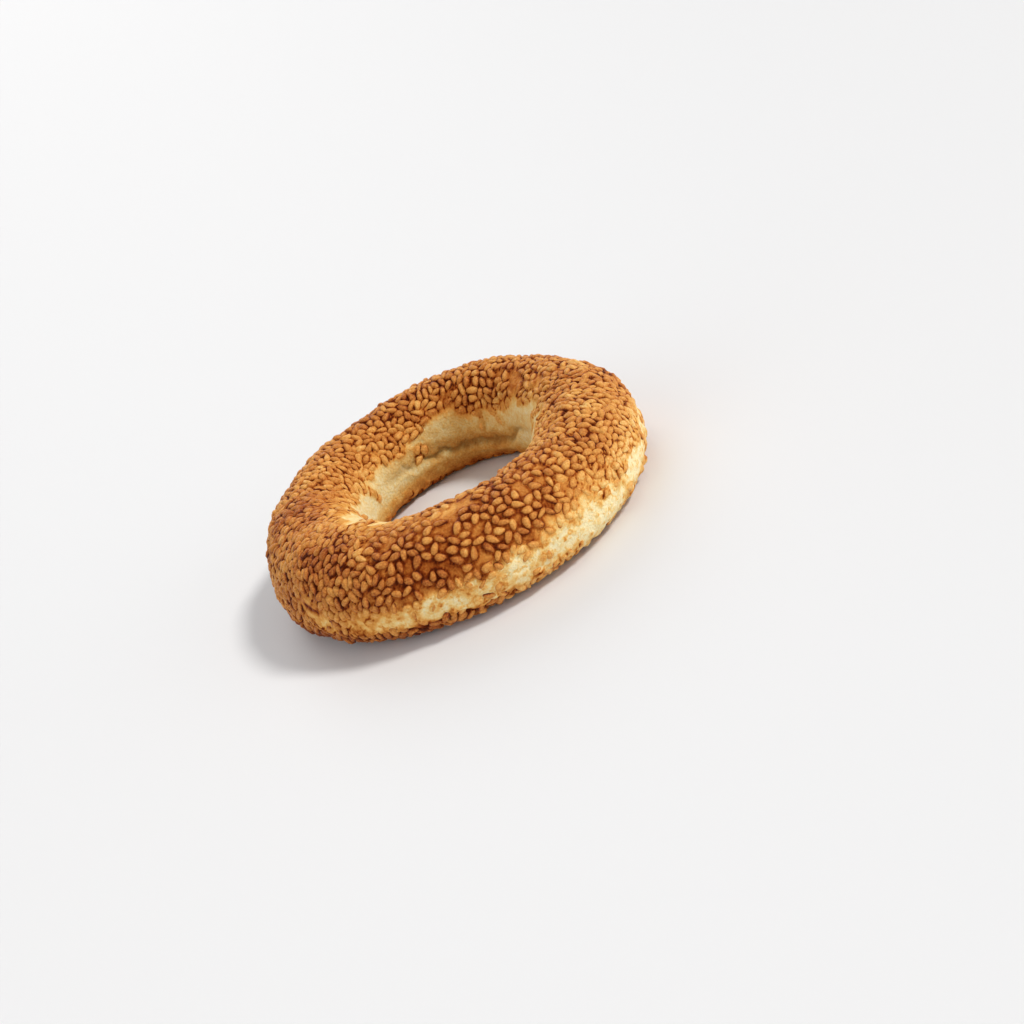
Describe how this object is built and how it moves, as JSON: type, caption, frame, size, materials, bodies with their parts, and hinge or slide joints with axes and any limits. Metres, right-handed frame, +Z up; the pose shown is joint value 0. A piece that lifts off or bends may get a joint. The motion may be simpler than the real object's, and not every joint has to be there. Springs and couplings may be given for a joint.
{
  "type": "sesame ring cookie",
  "caption": "Hand-shaped baked dough ring with a sesame seed coat, a rounded crown, an open hole and a flat underside that rests on a table.",
  "frame": {"origin": "centre of the footprint, on the surface the ring rests on", "axes": "+Z up out of the crown, +X along the ring's longest width, -Y towards its thickest side"},
  "size_m": [0.1052, 0.0998, 0.027],
  "materials": {
    "baked_crust": "satin",
    "sesame_seed": "satin"
  },
  "bodies": {
    "root": {"dough_ring": "baked_crust"}
  },
  "joints": []
}
